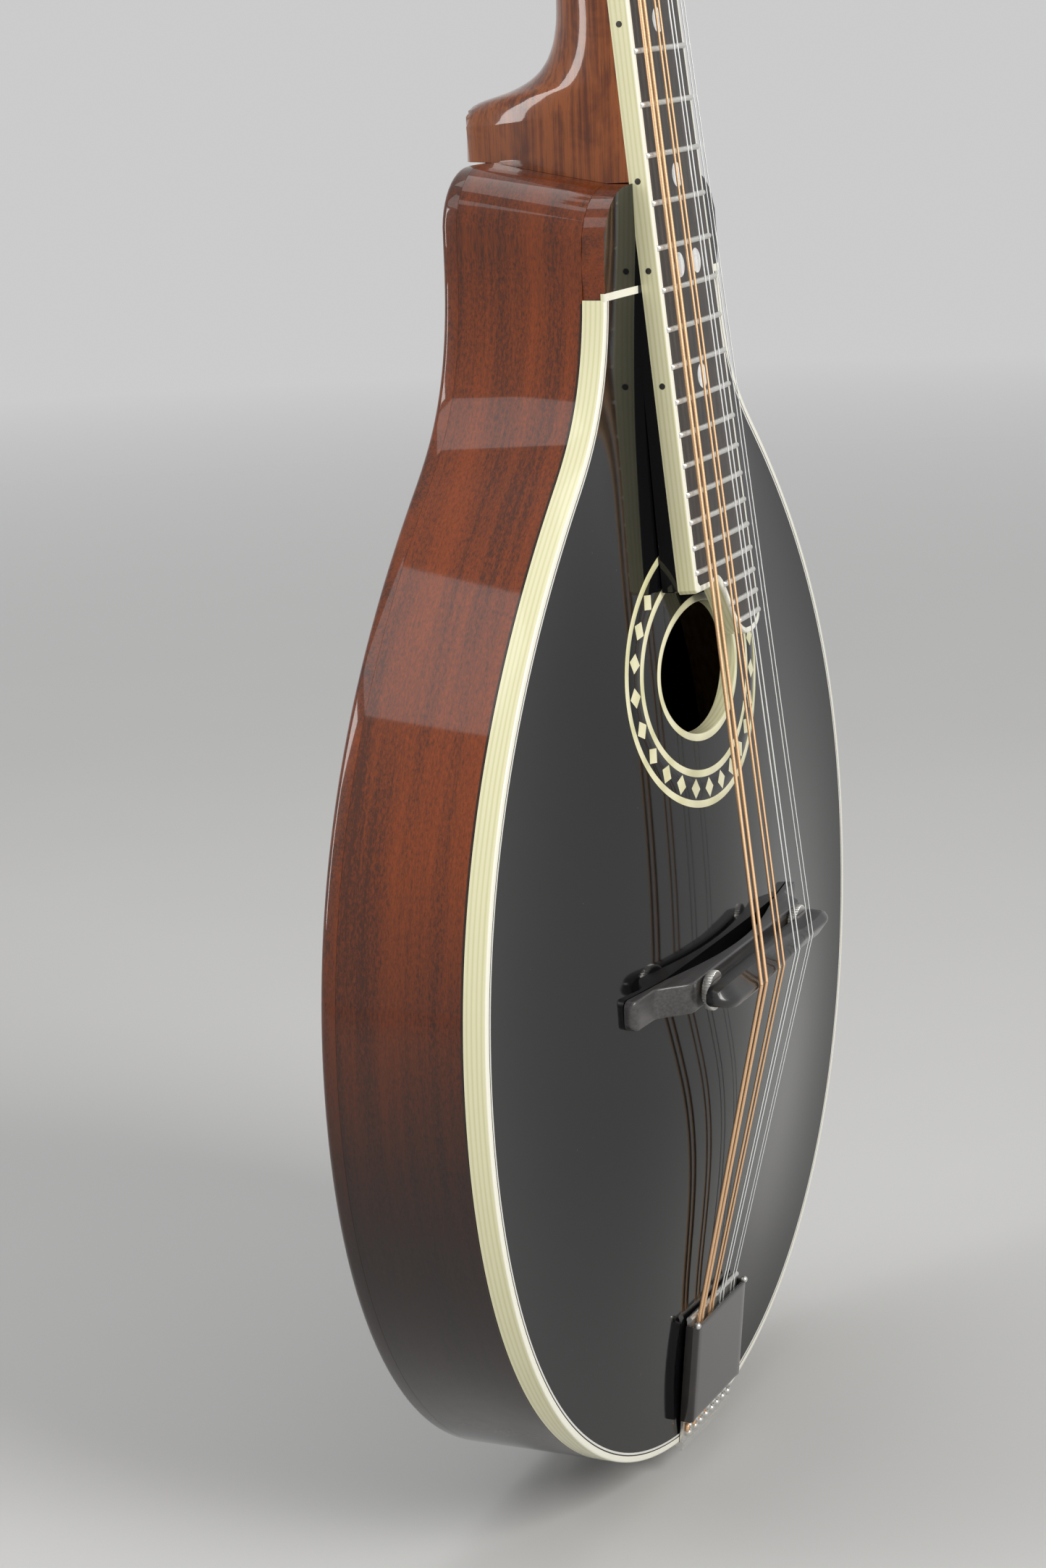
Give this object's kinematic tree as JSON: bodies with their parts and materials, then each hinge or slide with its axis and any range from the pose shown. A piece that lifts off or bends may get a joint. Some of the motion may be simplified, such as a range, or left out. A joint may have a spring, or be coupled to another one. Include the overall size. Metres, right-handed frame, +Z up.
{
  "type": "mandolin",
  "caption": "Pear-shaped carved-top mandolin with an oval sound hole, paired strings, a bound fingerboard, an adjustable bridge on thumbwheels, a tailpiece with a cover and geared tuners.",
  "frame": {"origin": "centre of the end pin's outer tip, the lowest point of the instrument when its neck points up", "axes": "+Z up the neck along the body's middle, -Y out of the sound board towards the player's audience, +X to the treble side"},
  "size_m": [0.254, 0.1112, 0.6442],
  "materials": {
    "black_lacquer": "gloss",
    "body_wood": "gloss",
    "inner_wood": "satin",
    "ivoroid": "gloss",
    "line_white": "gloss",
    "tortoise": "gloss",
    "neck_wood": "gloss",
    "steel": "brushed",
    "ebony": "satin",
    "fret_metal": "polished",
    "pearl": "pearly",
    "bone": "gloss",
    "brass": "satin",
    "nickel": "polished",
    "bronze_wire": "wound",
    "steel_wire": "polished",
    "button_plastic": "gloss"
  },
  "bodies": {
    "body": {"top_plate": "black_lacquer", "back_plate": "body_wood", "rim": "body_wood", "head_block": "inner_wood", "tail_block": "inner_wood", "linings": "inner_wood", "body_binding": "ivoroid", "purfling": "line_white", "soundhole_binding": "ivoroid", "rosette_rings": "ivoroid", "rosette_band": "tortoise", "rosette_diamonds": "ivoroid", "top_brace": "inner_wood", "neck": "neck_wood", "neck_bar": "steel", "headstock_veneer": "black_lacquer", "fretboard": "ebony", "fretboard_binding": "ivoroid", "fretboard_riser": "black_lacquer", "frets": "fret_metal", "face_dots": "pearl", "side_dots": "ebony", "nut": "bone", "bridge_base": "ebony", "bridge_posts": "brass", "tailpiece": "nickel", "screws": "nickel", "end_pin": "ebony", "tuner_plates": "nickel", "post_bushings": "nickel", "strings_wound": "bronze_wire", "strings_plain": "steel_wire"},
    "cover": {"tailpiece_cover": "tortoise"},
    "saddle": {"bridge_saddle": "ebony"},
    "wheel_bass": {"thumbwheel_bass": "nickel"},
    "wheel_treble": {"thumbwheel_treble": "nickel"},
    "post_1": {"tuner_post_1": "nickel"},
    "tuner_1": {"tuner_shaft_1": "nickel", "tuner_button_1": "button_plastic"},
    "post_2": {"tuner_post_2": "nickel"},
    "tuner_2": {"tuner_shaft_2": "nickel", "tuner_button_2": "button_plastic"},
    "post_3": {"tuner_post_3": "nickel"},
    "tuner_3": {"tuner_shaft_3": "nickel", "tuner_button_3": "button_plastic"},
    "post_4": {"tuner_post_4": "nickel"},
    "tuner_4": {"tuner_shaft_4": "nickel", "tuner_button_4": "button_plastic"},
    "post_5": {"tuner_post_5": "nickel"},
    "tuner_5": {"tuner_shaft_5": "nickel", "tuner_button_5": "button_plastic"},
    "post_6": {"tuner_post_6": "nickel"},
    "tuner_6": {"tuner_shaft_6": "nickel", "tuner_button_6": "button_plastic"},
    "post_7": {"tuner_post_7": "nickel"},
    "tuner_7": {"tuner_shaft_7": "nickel", "tuner_button_7": "button_plastic"},
    "post_8": {"tuner_post_8": "nickel"},
    "tuner_8": {"tuner_shaft_8": "nickel", "tuner_button_8": "button_plastic"}
  },
  "joints": [
    {"name": "cover_slide", "type": "slide", "parent": "body", "child": "cover", "axis": [0, 0.0993, -0.9951], "range_m": [0, 0.02]},
    {"name": "saddle_lift", "type": "slide", "parent": "body", "child": "saddle", "axis": [0, -1, 0], "range_m": [-0.0005, 0.002], "deforming": ["strings_wound", "strings_plain"]},
    {"name": "wheel_bass_turn", "type": "hinge", "parent": "saddle", "child": "wheel_bass", "pos_m": [-0.032, -0.04285, 0.14491], "axis": [0, -1, 0], "range_deg": [-258, 1030]},
    {"name": "wheel_treble_turn", "type": "hinge", "parent": "saddle", "child": "wheel_treble", "pos_m": [0.032, -0.04285, 0.14491], "axis": [0, -1, 0], "range_deg": [-258, 1030]},
    {"name": "tuner_1_turn", "type": "hinge", "parent": "body", "child": "tuner_1", "pos_m": [-0.047, 0.02469, 0.53339], "axis": [1, 0, 0], "continuous": true},
    {"name": "post_1_turn", "type": "hinge", "parent": "body", "child": "post_1", "pos_m": [-0.025, 0.02113, 0.52734], "axis": [0, -0.9409, 0.3387], "continuous": true},
    {"name": "tuner_2_turn", "type": "hinge", "parent": "body", "child": "tuner_2", "pos_m": [-0.047, 0.03249, 0.55503], "axis": [1, 0, 0], "continuous": true},
    {"name": "post_2_turn", "type": "hinge", "parent": "body", "child": "post_2", "pos_m": [-0.025, 0.02892, 0.54898], "axis": [0, -0.9409, 0.3387], "continuous": true},
    {"name": "tuner_3_turn", "type": "hinge", "parent": "body", "child": "tuner_3", "pos_m": [-0.047, 0.04028, 0.57667], "axis": [1, 0, 0], "continuous": true},
    {"name": "post_3_turn", "type": "hinge", "parent": "body", "child": "post_3", "pos_m": [-0.025, 0.03672, 0.57062], "axis": [0, -0.9409, 0.3387], "continuous": true},
    {"name": "tuner_4_turn", "type": "hinge", "parent": "body", "child": "tuner_4", "pos_m": [-0.047, 0.04807, 0.59831], "axis": [1, 0, 0], "continuous": true},
    {"name": "post_4_turn", "type": "hinge", "parent": "body", "child": "post_4", "pos_m": [-0.025, 0.04451, 0.59226], "axis": [0, -0.9409, 0.3387], "continuous": true},
    {"name": "tuner_5_turn", "type": "hinge", "parent": "body", "child": "tuner_5", "pos_m": [0.047, 0.02469, 0.53339], "axis": [1, 0, 0], "continuous": true},
    {"name": "post_5_turn", "type": "hinge", "parent": "body", "child": "post_5", "pos_m": [0.025, 0.02113, 0.52734], "axis": [0, -0.9409, 0.3387], "continuous": true},
    {"name": "tuner_6_turn", "type": "hinge", "parent": "body", "child": "tuner_6", "pos_m": [0.047, 0.03249, 0.55503], "axis": [1, 0, 0], "continuous": true},
    {"name": "post_6_turn", "type": "hinge", "parent": "body", "child": "post_6", "pos_m": [0.025, 0.02892, 0.54898], "axis": [0, -0.9409, 0.3387], "continuous": true},
    {"name": "tuner_7_turn", "type": "hinge", "parent": "body", "child": "tuner_7", "pos_m": [0.047, 0.04028, 0.57667], "axis": [1, 0, 0], "continuous": true},
    {"name": "post_7_turn", "type": "hinge", "parent": "body", "child": "post_7", "pos_m": [0.025, 0.03672, 0.57062], "axis": [0, -0.9409, 0.3387], "continuous": true},
    {"name": "tuner_8_turn", "type": "hinge", "parent": "body", "child": "tuner_8", "pos_m": [0.047, 0.04807, 0.59831], "axis": [1, 0, 0], "continuous": true},
    {"name": "post_8_turn", "type": "hinge", "parent": "body", "child": "post_8", "pos_m": [0.025, 0.04451, 0.59226], "axis": [0, -0.9409, 0.3387], "continuous": true}
  ],
  "couplings": [
    {"joint": "wheel_bass_turn", "follows": "saddle_lift", "rad_per_m": 8976},
    {"joint": "wheel_treble_turn", "follows": "saddle_lift", "rad_per_m": 8976},
    {"joint": "post_1_turn", "follows": "tuner_1_turn", "ratio": 0.071429},
    {"joint": "post_2_turn", "follows": "tuner_2_turn", "ratio": 0.071429},
    {"joint": "post_3_turn", "follows": "tuner_3_turn", "ratio": 0.071429},
    {"joint": "post_4_turn", "follows": "tuner_4_turn", "ratio": 0.071429},
    {"joint": "post_5_turn", "follows": "tuner_5_turn", "ratio": 0.071429},
    {"joint": "post_6_turn", "follows": "tuner_6_turn", "ratio": 0.071429},
    {"joint": "post_7_turn", "follows": "tuner_7_turn", "ratio": 0.071429},
    {"joint": "post_8_turn", "follows": "tuner_8_turn", "ratio": 0.071429}
  ]
}
